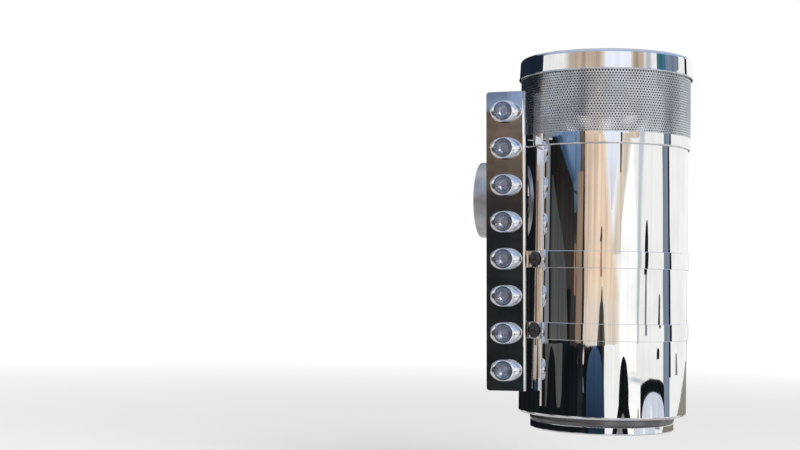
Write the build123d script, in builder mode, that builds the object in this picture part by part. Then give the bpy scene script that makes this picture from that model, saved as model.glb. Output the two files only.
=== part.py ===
from build123d import *
import os
from math import asin, cos, degrees, radians, sin, sqrt

# Engine air cleaner that hangs beside a truck's cowl, with its marker lamp panel.
# Millimetres, +Z up, -Y towards the front of the vehicle, +X away from the cowl.
# The origin is the centre of the cowl bolt pattern, on the face that bears on the cowl.

# Fits between pieces
seat = 0.3
hole_clearance = 0.5

# Canister, with its heights taken from the bottom edge of the body
cowl_gap = 59.5
body_radius = 190.5
body_top = 628.0
body_bend = 6.0
sheet = 1.5
neck_step_in = 32.5
neck_drop = 13.5
neck_flange = 2.0
neck_bend = 3.0

# Intake at the top: smooth collar, perforated screen, inner baffle and cap
collar_step = 4.5
collar_bottom = 603.0
collar_top = 630.0
collar_bend = 3.5
baffle_radius = 165.0
baffle_bottom = 705.0
cap_overhang = 4.0
cap_bottom = 766.0
cap_rim = 46.0
cap_crown = 10.0
cap_bend = 8.0
cap_hem = 2.0

# Straps round the body, with heights taken at the middle of each strap
lower_strap_height = 190.0
upper_strap_height = 349.0
strap_width = 38.0
strap_thickness = 3.0
strap_edge = 1.0
strap_gap_angle = 30.0
lug_length = 24.0
lug_thickness = 5.0

# Cowl bracket
plate_width = 150.0
plate_height = 214.0
plate_thickness = 6.0
plate_corner = 14.0
plate_lip = 18.0
bolt_spacing_y = 110.0
bolt_spacing_z = 180.0
bolt_hole_radius = 5.5
cradle_thickness = 4.0
cradle_angle = 22.0
web_width = 116.0
web_thickness = 5.0
web_inset = 4.0
clamp_bolt_radius = 4.0
clamp_head_radius = 7.5
clamp_head_height = 6.0
clamp_head_gap = 0.9

# Outlet elbow from the top of the filter element to the cowl side
outlet_radius = 89.0
outlet_wall = 1.6
outlet_above_strap = 33.0
outlet_past_cowl = 40.0
outlet_bend_step = 21.0
outlet_dip = 18.0
outlet_neck_length = 9.5
outlet_neck_wall = 2.0
stop_ring_step = 7.0
stop_ring_thickness = 3.0

# Filter element
element_clearance = 10.0
element_bore_step = 7.0
element_pleats = 48
pleat_margin = 1.0
pleat_wall = 9.0
element_cap_height = 15.0
element_foot_height = 10.0
element_foot_clearance = 7.0

# Service cover, its gasket and its clamp band
cover_step_out = 5.0
cover_top = -17.0
cover_bottom = -35.0
cover_lip = 11.0
cover_dish = 4.0
cover_dish_step_in = 27.0
cover_bend = 3.0
cover_lip_bend = 2.0
band_top = -1.0
band_bulge = 2.2
band_lug_length = 13.0
band_lug_gap = 9.0
band_lug_angle = 120.0
band_bolt_radius = 3.0
band_bolt_reach = 7.8

# Lamp panel, with its place taken at its outboard edge beside the middle of the two straps
panel_stand_off = 32.4
panel_lean = 1.0
panel_width = 89.5
panel_end_margin = 46.0
panel_flange = 29.0
panel_sheet = 1.6
panel_bend = 6.0
panel_corner = 7.0
ear_width = 36.0
ear_root_angle = 49.3
ear_end_angle = 35.5
ear_nut_angle = 41.7
nut_radius = 17.2
nut_flange = 2.2
nut_dome = 11.0
stud_radius = 4.0

# Marker lamps
lamp_count = 8
lamp_pitch = 83.0
lamp_first = 100.0
lamp_inset = 45.1
lamp_lens_radius = 19.5
lamp_bore_depth = 15.0
lamp_back_radius = 15.5
lamp_back_depth = 16.0
lens_thickness = 3.2
lens_proud = 0.8
reflector_sheet = 1.2
reflector_depth = 11.0
reflector_base = 7.0

# Sections of a lamp housing from the panel to its front rim
# forward of the panel, shift outboard, half width, half height
lamp_sections = (
    (0.0, 0.2, 36.8, 25.2),
    (6.0, 0.3, 36.3, 25.0),
    (12.0, -0.2, 34.0, 24.5),
    (17.0, -1.0, 30.2, 23.6),
    (20.0, -1.4, 26.4, 22.6),
    (22.0, -1.6, 21.3, 21.3),
)

# Places that several pieces share
cowl_to_axis = body_radius + cowl_gap
collar_radius = body_radius + collar_step
cap_radius = collar_radius + cap_overhang
neck_radius = body_radius - neck_step_in
cover_radius = neck_radius + cover_step_out
cover_lip_radius = cover_radius - cover_lip
cover_dish_radius = cover_radius - cover_dish_step_in
element_radius = neck_radius - element_clearance
element_foot_radius = cover_lip_radius - element_foot_clearance
panel_bottom = lamp_first - panel_end_margin
panel_height = (lamp_count - 1) * lamp_pitch + 2 * panel_end_margin
outlet_height = upper_strap_height + strap_width / 2 + outlet_above_strap + outlet_radius
outlet_reach = cowl_to_axis + outlet_past_cowl
outlet_neck_reach = body_radius + outlet_neck_length
outlet_bend = outlet_radius + outlet_bend_step
stop_ring_radius = outlet_radius + stop_ring_step
element_bore = outlet_radius + element_bore_step
middle_height = (lower_strap_height + upper_strap_height) / 2
strap_heights = {"lower": lower_strap_height, "upper": upper_strap_height}
canister_axis = Axis((cowl_to_axis, 0, 0), (0, 0, 1))
canister_section = Plane((cowl_to_axis, 0, -middle_height), x_dir=(1, 0, 0), z_dir=(0, -1, 0))
strap_inner = body_radius + seat
strap_outer = strap_inner + strap_thickness
ear_inner = strap_outer + seat
ear_outer = ear_inner + panel_sheet
panel_edge_to_axis = ear_outer * sin(radians(ear_root_angle))
panel_forward = ear_outer * cos(radians(ear_root_angle)) + panel_stand_off
cradle_outer = strap_inner + cradle_thickness
lug_half_angle = degrees(lug_thickness / 2 / strap_inner)
cradle_lug_angle = cradle_angle - lug_half_angle
strap_lug_angle = strap_gap_angle + lug_half_angle
clamp_bolt_offset = (strap_thickness + lug_length) / 2
inboard = 180.0
front = 270.0


def level(height):
    """Horizontal plane centred on the canister at a height above the body's bottom edge."""
    return Plane((cowl_to_axis, 0, height - middle_height))


def clamp_bolt_plane(side, height):
    """Plane across a strap's clamp bolt, at the middle of its length."""
    angle = radians(inboard + side * (strap_lug_angle + cradle_lug_angle) / 2)
    radius = strap_inner + clamp_bolt_offset
    spot = (cowl_to_axis + radius * cos(angle), radius * sin(angle), height - middle_height)
    return Plane(spot, x_dir=(0, 0, 1), z_dir=(-sin(angle), cos(angle), 0))


clamp_bolt_span = radians(strap_lug_angle - cradle_lug_angle) * (strap_inner + clamp_bolt_offset)

# Cowl bracket: a folded channel with its bolt holes, its back face on the cowl
with BuildPart() as mounting_plate:
    with BuildSketch(Plane.YZ):
        RectangleRounded(plate_width, plate_height, plate_corner)
    extrude(amount=plate_thickness)
    for side in (-1, 1):
        lip_middle = side * (plate_width - plate_thickness) / 2
        with BuildSketch(Plane.YZ):
            with Locations((lip_middle, 0)):
                Rectangle(plate_thickness, plate_height - 2 * plate_corner)
        extrude(amount=plate_lip)
    with BuildSketch(Plane.YZ):
        with GridLocations(bolt_spacing_y, bolt_spacing_z, 2, 2):
            Circle(bolt_hole_radius)
    extrude(amount=plate_thickness, mode=Mode.SUBTRACT)
mounting_plate.part.label = "mounting_plate"

# Saddles that reach from the plate and cradle the body behind each strap
saddles = {}
for name, height in strap_heights.items():
    with BuildPart() as saddle:
        with BuildSketch(level(height - strap_width / 2)):
            with BuildLine():
                inner = CenterArc((0, 0), strap_inner, inboard - cradle_angle, 2 * cradle_angle)
                outer = CenterArc((0, 0), cradle_outer, inboard - cradle_angle, 2 * cradle_angle)
                Line(inner @ 0, outer @ 0)
                Line(inner @ 1, outer @ 1)
            make_face()
            for side in (-1, 1):
                lug_middle = strap_inner + lug_length / 2
                lug_angle = inboard + side * cradle_lug_angle
                with PolarLocations(lug_middle, 1, start_angle=lug_angle):
                    Rectangle(lug_length, lug_thickness)
        extrude(amount=strap_width)
        for web_side in (-1, 1):
            web_height = height + web_side * (strap_width / 2 - web_inset - web_thickness / 2)
            with BuildSketch(level(web_height - web_thickness / 2)):
                web_reach = cowl_to_axis - plate_thickness
                with Locations((-web_reach / 2, 0)):
                    Rectangle(web_reach, web_width)
                Circle(cradle_outer - cradle_thickness / 2, mode=Mode.SUBTRACT)
            extrude(amount=web_thickness)
        for side in (-1, 1):
            with BuildSketch(clamp_bolt_plane(side, height)):
                Circle(clamp_bolt_radius + hole_clearance)
            extrude(amount=lug_length, both=True, mode=Mode.SUBTRACT)
    saddle.part.label = f"saddle_{name}"
    saddles[name] = saddle

# Straps, each an open hoop with a lug turned out at both ends
straps = {}
for name, height in strap_heights.items():
    with BuildPart() as strap:
        with BuildSketch(level(height - strap_width / 2)):
            with BuildLine():
                hoop_start = inboard + strap_gap_angle
                hoop_sweep = 360 - 2 * strap_gap_angle
                inner = CenterArc((0, 0), strap_inner, hoop_start, hoop_sweep)
                outer = CenterArc((0, 0), strap_outer, hoop_start, hoop_sweep)
                Line(inner @ 0, outer @ 0)
                Line(inner @ 1, outer @ 1)
            make_face()
            for side in (-1, 1):
                lug_middle = strap_inner + lug_length / 2
                lug_angle = inboard + side * strap_lug_angle
                with PolarLocations(lug_middle, 1, start_angle=lug_angle):
                    Rectangle(lug_length, lug_thickness)
        extrude(amount=strap_width)
        rim_edges = strap.edges().filter_by(GeomType.CIRCLE).group_by(SortBy.RADIUS)[-1]
        fillet(rim_edges, strap_edge)
        for side in (-1, 1):
            with BuildSketch(clamp_bolt_plane(side, height)):
                Circle(clamp_bolt_radius + hole_clearance)
            extrude(amount=lug_length, both=True, mode=Mode.SUBTRACT)
    strap.part.label = f"strap_{name}"
    straps[name] = strap

# Clamp bolts that pull each strap's lugs to the saddle's lugs
with BuildPart() as clamp_bolts:
    for height in strap_heights.values():
        for side in (-1, 1):
            middle = clamp_bolt_plane(side, height)
            grip = (clamp_bolt_span + lug_thickness) / 2 + clamp_head_gap
            with BuildSketch(middle):
                Circle(clamp_bolt_radius)
            extrude(amount=grip + clamp_head_height, both=True)
            for end in (-1, 1):
                head_start = grip if end > 0 else -grip - clamp_head_height
                with BuildSketch(middle.offset(head_start)):
                    RegularPolygon(clamp_head_radius, 6)
                extrude(amount=clamp_head_height)
clamp_bolts.part.label = "clamp_bolts"

# Body: spun sheet with a rolled bottom edge and a neck, cut for the outlet
with BuildPart() as housing_body:
    with BuildSketch(canister_section):
        with BuildLine():
            skin = FilletPolyline(
                (body_radius, body_top),
                (body_radius, 0),
                (neck_radius, 0),
                (neck_radius, sheet - neck_drop),
                (neck_radius + neck_flange, sheet - neck_drop),
                radius=[body_bend, neck_bend, neck_flange / 2],
            )
            offset(skin, amount=sheet, side=Side.RIGHT)
        make_face()
    revolve(axis=canister_axis)
    neck_mouth = Plane.YZ.offset(cowl_to_axis - outlet_neck_reach)
    with BuildSketch(neck_mouth):
        with Locations((0, outlet_height - middle_height)):
            Circle(outlet_radius + seat + outlet_neck_wall)
    extrude(amount=outlet_neck_reach)
    with BuildSketch(level(outlet_height - outlet_radius - 2 * outlet_neck_wall)):
        Circle(body_radius - sheet)
    extrude(amount=2 * (outlet_radius + 2 * outlet_neck_wall), mode=Mode.SUBTRACT)
    with BuildSketch(neck_mouth):
        with Locations((0, outlet_height - middle_height)):
            Circle(outlet_radius + seat)
    extrude(amount=outlet_neck_reach, mode=Mode.SUBTRACT)
housing_body.part.label = "housing_body"

# Collar: the smooth lower margin of the intake, turned in to the body
with BuildPart() as intake_collar:
    with BuildSketch(canister_section):
        with BuildLine():
            skin = FilletPolyline(
                (collar_radius, collar_top),
                (collar_radius, collar_bottom),
                (strap_inner, collar_bottom),
                radius=collar_bend,
            )
            offset(skin, amount=sheet, side=Side.RIGHT)
        make_face()
    revolve(axis=canister_axis)
intake_collar.part.label = "intake_collar"

# Cap, its heights and the shape of its crown
cap_top = cap_bottom + cap_rim
cap_top_radius = collar_radius + seat + sheet
crown_arc_radius = (cap_top_radius**2 + cap_crown**2) / (2 * cap_crown)


def crown_underside(radius):
    """Height of the cap's inner face at a distance from the canister's axis."""
    centre_height = cap_top + cap_crown - crown_arc_radius
    return centre_height + sqrt((crown_arc_radius - sheet) ** 2 - radius**2)


with BuildPart() as cap:
    with BuildSketch(canister_section):
        with BuildLine() as skin:
            TangentArc((0, cap_top + cap_crown), (cap_top_radius, cap_top), tangent=(1, 0))
            Line((cap_top_radius, cap_top), (cap_radius, cap_bottom))
            corner = skin.vertices().sort_by(Axis.X)[1]
            fillet(corner, cap_bend)
            offset(skin.wires()[0], amount=sheet, side=Side.RIGHT)
        make_face()
        with Locations((cap_radius - sheet / 2, cap_bottom + cap_hem)):
            Circle(cap_hem)
    revolve(axis=canister_axis)
cap.part.label = "cap"

# Screen: the perforated band between the collar and the cap
screen_top = cap_top - cap_bend - sheet
with BuildPart() as intake_screen:
    with BuildSketch(level(collar_top)):
        Circle(collar_radius)
        Circle(collar_radius - sheet, mode=Mode.SUBTRACT)
    extrude(amount=screen_top - collar_top)
intake_screen.part.label = "intake_screen"

# Baffle: a skirt under the cap that keeps rain off the outlet
with BuildPart() as inlet_baffle:
    with BuildSketch(level(baffle_bottom)):
        Circle(baffle_radius)
        Circle(baffle_radius - sheet, mode=Mode.SUBTRACT)
    extrude(amount=crown_underside(baffle_radius) - seat - baffle_bottom)
inlet_baffle.part.label = "inlet_baffle"

# Outlet: a tube from the cowl side that turns down into the filter element
outlet_base = outlet_height - outlet_bend - outlet_dip
with BuildPart() as outlet_tube:
    with BuildLine(canister_section):
        FilletPolyline(
            (-outlet_reach, outlet_height),
            (0, outlet_height),
            (0, outlet_base),
            radius=outlet_bend,
        )
    mouth = Plane(
        (cowl_to_axis - outlet_reach, 0, outlet_height - middle_height),
        x_dir=(0, 1, 0),
        z_dir=(1, 0, 0),
    )
    with BuildSketch(mouth):
        Circle(outlet_radius)
        Circle(outlet_radius - outlet_wall, mode=Mode.SUBTRACT)
    sweep()
    with BuildSketch(mouth.offset(outlet_reach - outlet_neck_reach - seat)):
        Circle(stop_ring_radius)
        Circle(outlet_radius - outlet_wall / 2, mode=Mode.SUBTRACT)
    extrude(amount=-stop_ring_thickness)
outlet_tube.part.label = "outlet_tube"

# Filter element: pleated paper between a sealing ring and a closed foot
foot_bottom = cover_bottom + cover_dish + sheet + seat
media_bottom = foot_bottom + element_foot_height
pleat_outer = element_foot_radius - pleat_margin
pleat_valley = element_bore + pleat_wall
with BuildPart() as element_media:
    with BuildSketch(level(media_bottom)):
        pleat_step = 360 / element_pleats
        with BuildLine():
            Polyline(
                *[
                    (radius * cos(radians(angle)), radius * sin(radians(angle)))
                    for fold in range(element_pleats)
                    for radius, angle in (
                        (pleat_outer, fold * pleat_step),
                        (pleat_valley, (fold + 0.5) * pleat_step),
                    )
                ],
                close=True,
            )
        make_face()
        Circle(element_bore, mode=Mode.SUBTRACT)
    extrude(amount=outlet_base - media_bottom)
element_media.part.label = "element_media"

with BuildPart() as element_ends:
    with BuildSketch(level(outlet_base)):
        Circle(element_radius)
        Circle(outlet_radius + seat, mode=Mode.SUBTRACT)
    extrude(amount=element_cap_height)
    with BuildSketch(level(foot_bottom)):
        Circle(element_foot_radius)
    extrude(amount=element_foot_height)
element_ends.part.label = "element_ends"

# Service cover: a dished pan whose lip seals under the body's neck
with BuildPart() as service_cover:
    with BuildSketch(canister_section):
        with BuildLine():
            skin = FilletPolyline(
                (0, cover_bottom + cover_dish),
                (cover_dish_radius, cover_bottom + cover_dish),
                (cover_dish_radius + 2 * cover_dish, cover_bottom),
                (cover_radius, cover_bottom),
                (cover_radius, cover_top),
                (cover_lip_radius, cover_top),
                radius=[cover_bend, cover_bend, cover_bend, cover_lip_bend],
            )
            offset(skin, amount=sheet, side=Side.LEFT)
        make_face()
    revolve(axis=canister_axis)
service_cover.part.label = "service_cover"

with BuildPart() as cover_gasket:
    with BuildSketch(level(cover_top)):
        Circle(neck_radius + neck_flange)
        Circle(cover_lip_radius, mode=Mode.SUBTRACT)
    extrude(amount=-neck_drop - cover_top)
cover_gasket.part.label = "cover_gasket"

# Clamp band: a hoop with a bulged face, drawn together by a bolt through two lugs
band_inner = neck_radius + neck_flange + 2 * seat
band_bottom = cover_top + seat
with BuildPart() as clamp_band:
    with BuildSketch(canister_section):
        with BuildLine():
            Polyline(
                (band_inner + sheet, band_bottom),
                (band_inner, band_bottom),
                (band_inner, band_top),
                (band_inner + sheet, band_top),
            )
            ThreePointArc(
                (band_inner + sheet, band_top),
                (band_inner + sheet + band_bulge, (band_top + band_bottom) / 2),
                (band_inner + sheet, band_bottom),
            )
        make_face()
    revolve(axis=canister_axis)
    lug_shift = (band_lug_gap + sheet) / 2
    with BuildSketch(level(band_bottom)):
        with PolarLocations(band_inner + sheet + band_lug_length / 2, 1, start_angle=band_lug_angle):
            with Locations((0, lug_shift), (0, -lug_shift)):
                Rectangle(band_lug_length, 2 * sheet)
    extrude(amount=band_top - band_bottom)
    lug_direction = radians(band_lug_angle)
    bolt_to_axis = band_inner + sheet + band_bolt_reach
    lug_bolt_spot = (
        cowl_to_axis + bolt_to_axis * cos(lug_direction),
        bolt_to_axis * sin(lug_direction),
        (band_top + band_bottom) / 2 - middle_height,
    )
    across_lugs = (-sin(lug_direction), cos(lug_direction), 0)
    with BuildSketch(Plane(lug_bolt_spot, x_dir=(0, 0, 1), z_dir=across_lugs)):
        Circle(band_bolt_radius)
    extrude(amount=band_lug_gap + 2 * sheet, both=True)
clamp_band.part.label = "clamp_band"

# Lamp panel: a folded sheet that leans a little inboard at its top
lean = radians(panel_lean)
panel_right = Vector(cos(lean), 0, sin(lean))
panel_up = Vector(-sin(lean), 0, cos(lean))
panel_origin = Vector(cowl_to_axis - panel_edge_to_axis, -panel_forward, 0)
panel_front = Plane(panel_origin, x_dir=panel_right, z_dir=(0, -1, 0))
panel_low = panel_bottom - middle_height


def lamp_plane(number, forward):
    """Plane parallel to the panel's face, centred on a lamp counted from the bottom."""
    lift = lamp_first - middle_height + number * lamp_pitch
    spot = panel_origin - panel_right * lamp_inset + panel_up * lift + Vector(0, -forward, 0)
    return Plane(spot, x_dir=panel_right, z_dir=(0, -1, 0))


def ear_angle_at(radius, reach):
    """Direction from the canister's axis at which a circle meets the panel's outboard face."""
    return front - degrees(asin(reach / radius))


with BuildPart() as light_panel:
    with BuildSketch(Plane(panel_origin + panel_up * panel_low, x_dir=panel_right, z_dir=panel_up)):
        with BuildLine():
            fold = FilletPolyline(
                (-panel_width, 0),
                (0, 0),
                (0, panel_flange),
                radius=panel_bend,
            )
            offset(fold, amount=panel_sheet, side=Side.LEFT)
        make_face()
    extrude(amount=panel_height)
    corner_edges = light_panel.edges().group_by(SortBy.LENGTH)[0]
    fillet(corner_edges, panel_corner)
    for height in strap_heights.values():
        ear_reach = panel_edge_to_axis + (height - middle_height) * sin(lean)
        ear_root = ear_angle_at(ear_outer, ear_reach)
        ear_sweep = front - ear_end_angle - ear_root
        tongue_back = -sqrt(ear_inner**2 - (ear_reach - panel_sheet) ** 2)
        with BuildSketch(level(height - ear_width / 2)):
            with BuildLine():
                inner = CenterArc((0, 0), ear_inner, ear_root, ear_sweep)
                outer = CenterArc((0, 0), ear_outer, ear_root, ear_sweep)
                Line(inner @ 0, outer @ 0)
                Line(inner @ 1, outer @ 1)
            make_face()
            tongue_front = -panel_forward + panel_flange - panel_bend
            with Locations((-ear_reach + panel_sheet / 2, (tongue_front + tongue_back) / 2)):
                Rectangle(panel_sheet, tongue_back - tongue_front)
        extrude(amount=ear_width)
    for number in range(lamp_count):
        with BuildSketch(lamp_plane(number, 0)):
            Circle(lamp_back_radius + hole_clearance)
        extrude(amount=-2 * panel_sheet, mode=Mode.SUBTRACT)
    for height in strap_heights.values():
        nut_angle = radians(front - ear_nut_angle)
        outward = Vector(cos(nut_angle), sin(nut_angle), 0)
        nut_spot = Vector(cowl_to_axis, 0, height - middle_height) + outward * ear_outer
        with BuildSketch(Plane(nut_spot, x_dir=(0, 0, 1), z_dir=outward)):
            Circle(stud_radius + hole_clearance)
        extrude(amount=panel_sheet + seat, both=True, mode=Mode.SUBTRACT)
light_panel.part.label = "light_panel"

# Domed nuts on the studs that hold the panel's ears to the straps
with BuildPart() as dome_nuts:
    for height in strap_heights.values():
        nut_angle = radians(front - ear_nut_angle)
        outward = Vector(cos(nut_angle), sin(nut_angle), 0)
        base = Vector(cowl_to_axis, 0, height - middle_height) + outward * (ear_outer + seat)
        nut_section = Plane(base, x_dir=(0, 0, 1), z_dir=Vector(0, 0, 1).cross(outward))
        with BuildSketch(nut_section):
            with BuildLine():
                Polyline(
                    (0, nut_flange + nut_dome),
                    (0, -panel_sheet - seat),
                    (stud_radius, -panel_sheet - seat),
                    (stud_radius, 0),
                    (nut_radius, 0),
                    (nut_radius, nut_flange),
                )
                TangentArc((0, nut_flange + nut_dome), (nut_radius, nut_flange), tangent=(1, 0))
            make_face()
        revolve(axis=Axis(base, outward))
dome_nuts.part.label = "dome_nuts"

# Lamp housings: an oval foot that rises to a round rim set inboard of its middle
rim_forward, rim_shift = lamp_sections[-1][:2]
with BuildPart() as lamp_housings:
    for number in range(lamp_count):
        for forward, shift, half_width, half_height in lamp_sections:
            with BuildSketch(lamp_plane(number, forward)):
                with Locations((shift, 0)):
                    Ellipse(half_width, half_height)
        loft()
        with BuildSketch(lamp_plane(number, rim_forward)):
            with Locations((rim_shift, 0)):
                Circle(lamp_lens_radius + seat)
        extrude(amount=-lamp_bore_depth, mode=Mode.SUBTRACT)
lamp_housings.part.label = "lamp_housings"

# Reflectors: thin bowls behind the lenses, each with a flat floor for its light source
with BuildPart() as lamp_reflectors:
    for number in range(lamp_count):
        rim = lamp_plane(number, rim_forward + lens_proud - lens_thickness - seat)
        centre = rim.from_local_coords((rim_shift, 0, 0))
        with BuildSketch(Plane(centre, x_dir=panel_right, z_dir=-panel_up)):
            with BuildLine() as bowl:
                Line((0, -reflector_depth), (reflector_base, -reflector_depth))
                TangentArc(
                    (reflector_base, -reflector_depth),
                    (lamp_lens_radius - reflector_sheet, 0),
                    tangent=(1, 0),
                )
                offset(bowl.wires()[0], amount=reflector_sheet, side=Side.RIGHT)
            make_face()
        revolve(axis=Axis(centre, panel_front.z_dir))
lamp_reflectors.part.label = "lamp_reflectors"

with BuildPart() as lamp_lenses:
    for number in range(lamp_count):
        with BuildSketch(lamp_plane(number, rim_forward + lens_proud)):
            with Locations((rim_shift, 0)):
                Circle(lamp_lens_radius)
        extrude(amount=-lens_thickness)
lamp_lenses.part.label = "lamp_lenses"

with BuildPart() as lamp_backs:
    for number in range(lamp_count):
        with BuildSketch(lamp_plane(number, 0)):
            Circle(lamp_back_radius)
        extrude(amount=-lamp_back_depth)
lamp_backs.part.label = "lamp_backs"

os.makedirs("parts", exist_ok=True)
pieces = [mounting_plate, *saddles.values(), *straps.values(), clamp_bolts, housing_body]
pieces += [intake_collar, intake_screen, inlet_baffle, cap, outlet_tube]
pieces += [element_media, element_ends, service_cover, cover_gasket, clamp_band]
pieces += [light_panel, dome_nuts, lamp_housings, lamp_reflectors, lamp_lenses, lamp_backs]
for piece in pieces:
    export_step(piece.part, f"parts/{piece.part.label}.step")
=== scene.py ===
from math import cos, pi, radians, sin, sqrt, tau

import bmesh
import bpy
from bpy.props import FloatProperty, FloatVectorProperty, IntProperty, PointerProperty
from mathutils import Matrix, Vector


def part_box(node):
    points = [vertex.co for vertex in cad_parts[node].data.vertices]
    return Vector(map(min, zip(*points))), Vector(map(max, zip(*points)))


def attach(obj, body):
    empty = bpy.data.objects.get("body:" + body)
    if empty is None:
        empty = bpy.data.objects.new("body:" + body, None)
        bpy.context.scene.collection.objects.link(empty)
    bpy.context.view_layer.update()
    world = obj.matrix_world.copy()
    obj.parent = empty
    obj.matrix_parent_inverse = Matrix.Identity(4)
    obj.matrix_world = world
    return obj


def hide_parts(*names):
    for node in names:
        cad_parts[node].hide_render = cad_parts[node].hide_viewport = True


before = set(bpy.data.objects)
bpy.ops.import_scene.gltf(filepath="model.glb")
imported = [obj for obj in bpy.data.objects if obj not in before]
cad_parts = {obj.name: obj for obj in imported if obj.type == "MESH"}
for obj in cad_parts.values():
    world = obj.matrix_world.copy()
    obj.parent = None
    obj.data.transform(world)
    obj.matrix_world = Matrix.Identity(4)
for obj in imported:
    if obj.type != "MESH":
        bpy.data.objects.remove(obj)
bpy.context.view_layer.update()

bl_info = {
    "name": "Engine Air Cleaner",
    "version": (1, 0, 0),
    "blender": (4, 5, 0),
    "location": "3D View > Sidebar > Air Cleaner",
    "description": "Dresses an external engine air cleaner and its marker lamps",
    "category": "Object",
}


def middle_height(node):
    """Height of the middle of a CAD node."""
    low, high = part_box(node)
    return (low.z + high.z) / 2


# The canister's upright axis and the places that follow the CAD nodes
screen_low, screen_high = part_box("intake_screen")
CANISTER_X = (screen_low.x + screen_high.x) / 2
SCREEN_RADIUS = (screen_high.x - screen_low.x) / 2
COVER_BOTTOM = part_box("service_cover")[0].z
BAND_HEIGHT = middle_height("clamp_band")
STRAP_HEIGHTS = (middle_height("strap_lower"), middle_height("strap_upper"))

# The face of the mounting plate that the saddles are welded to
PLATE_FACE = 0.006
# Holes in one row round the intake screen
HOLES_ROUND = 188
# Vertices of a new piece that lie closer than this become one
MERGE_DISTANCE = 0.00001

# The lamp panel's face: its outboard edge at the height of the origin, and how far it leans inboard
PANEL_EDGE = Vector((0.10163, -0.16002, 0.0))
PANEL_LEAN = radians(1.0)
PANEL_RIGHT = Vector((cos(PANEL_LEAN), 0.0, sin(PANEL_LEAN)))
PANEL_UP = Vector((-sin(PANEL_LEAN), 0.0, cos(PANEL_LEAN)))
PANEL_OUT = Vector((0.0, -1.0, 0.0))


class SheetSizes(bpy.types.PropertyGroup):
    """Sizes of the perforated intake screen"""

    hole_pitch: FloatProperty(
        name="Hole Pitch", description="Distance between holes in a row",
        default=tau * SCREEN_RADIUS / HOLES_ROUND, unit="LENGTH")
    hole_radius: FloatProperty(
        name="Hole Radius", description="Corner radius of a hole",
        default=0.00195, unit="LENGTH")
    sheet: FloatProperty(
        name="Sheet", description="Thickness of the perforated sheet",
        default=0.0015, unit="LENGTH")
    margin: FloatProperty(
        name="Margin", description="Plain sheet below the middle of the first row of holes",
        default=0.0040, unit="LENGTH")
    rows: IntProperty(
        name="Rows", description="Rows of holes, an even number", default=26, min=2)


class LampSizes(bpy.types.PropertyGroup):
    """Sizes and places of the marker lamps"""

    count: IntProperty(name="Count", description="Marker lamps on the panel", default=8, min=1)
    pitch: FloatProperty(
        name="Pitch", description="Distance between lamps", default=0.083, unit="LENGTH")
    first: FloatProperty(
        name="First", description="Height of the lowest lamp", default=-0.1695, unit="LENGTH")
    inset: FloatProperty(
        name="Inset", description="From the panel's outboard edge to the middle of a lens",
        default=0.0467, unit="LENGTH")
    rim: FloatProperty(
        name="Rim", description="From the panel's face to a lamp's front rim",
        default=0.022, unit="LENGTH")
    lens_radius: FloatProperty(
        name="Lens Radius", description="Radius of a lens", default=0.0194, unit="LENGTH")
    lens_edge: FloatProperty(
        name="Lens Edge", description="Thickness of a lens at its edge",
        default=0.0026, unit="LENGTH")
    facets: IntProperty(
        name="Facets", description="Facets round a reflector", default=20, min=6)


class FinishColours(bpy.types.PropertyGroup):
    """Colours of the finishes"""

    stainless: FloatVectorProperty(
        name="Stainless", description="Polished steel of the shell", subtype="COLOR",
        default=(0.80, 0.80, 0.81))
    chrome: FloatVectorProperty(
        name="Chrome", description="Chrome plate of the lamps", subtype="COLOR",
        default=(0.84, 0.88, 0.95))
    screen: FloatVectorProperty(
        name="Screen", description="Perforated steel of the intake", subtype="COLOR",
        default=(0.60, 0.61, 0.64))
    bracket: FloatVectorProperty(
        name="Bracket", description="Paint of the mounting bracket", subtype="COLOR",
        default=(0.018, 0.018, 0.020))
    paper: FloatVectorProperty(
        name="Paper", description="Pleated paper of the filter element", subtype="COLOR",
        default=(0.62, 0.48, 0.24))
    lens: FloatVectorProperty(
        name="Lens", description="Tint of the lamp lenses", subtype="COLOR",
        default=(0.90, 0.91, 0.96))
    floor: FloatVectorProperty(
        name="Floor", description="Pale floor under the part", subtype="COLOR",
        default=(0.86, 0.86, 0.86))


class StageSettings(bpy.types.PropertyGroup):
    """Camera and light round the part"""

    camera_distance: FloatProperty(
        name="Distance", description="Level distance from the canister's axis to the camera",
        default=3.2201, unit="LENGTH")
    camera_height: FloatProperty(
        name="Height", description="Height of the camera above the origin",
        default=0.021, unit="LENGTH")
    camera_bearing: FloatProperty(
        name="Bearing", description="How far outboard of straight ahead the camera stands",
        default=radians(8.7), subtype="ANGLE")
    camera_yaw: FloatProperty(
        name="Yaw", description="Turn of the camera's aim to its left of the canister",
        default=radians(8.431), subtype="ANGLE")
    camera_pitch: FloatProperty(
        name="Pitch", description="Upward tilt of the camera's aim",
        default=radians(2.399), subtype="ANGLE")
    camera_roll: FloatProperty(
        name="Roll", description="Roll of the camera", default=radians(1.069), subtype="ANGLE")
    focal_length: FloatProperty(
        name="Focal Length", description="Focal length in millimetres on a 36 mm sensor",
        default=61.9, subtype="DISTANCE_CAMERA")
    floor_drop: FloatProperty(
        name="Floor Drop", description="From the closed cover down to the floor",
        default=0.155, unit="LENGTH")


# Modelling helpers


def deselect_all():
    """Leaves nothing selected, because the loaded nodes start out selected."""
    bpy.ops.object.select_all(action="DESELECT")


def choose(piece):
    """Makes one object the active one and the only one selected."""
    deselect_all()
    piece.select_set(True)
    bpy.context.view_layer.objects.active = piece


def begin_piece(name):
    """Names the primitive that was just added, fixes its place in its mesh and opens it."""
    piece = bpy.context.object
    piece.name = name
    piece.data.name = name
    bpy.ops.object.transform_apply(location=True, rotation=True, scale=True)
    bpy.ops.object.mode_set(mode="EDIT")
    return piece


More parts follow.
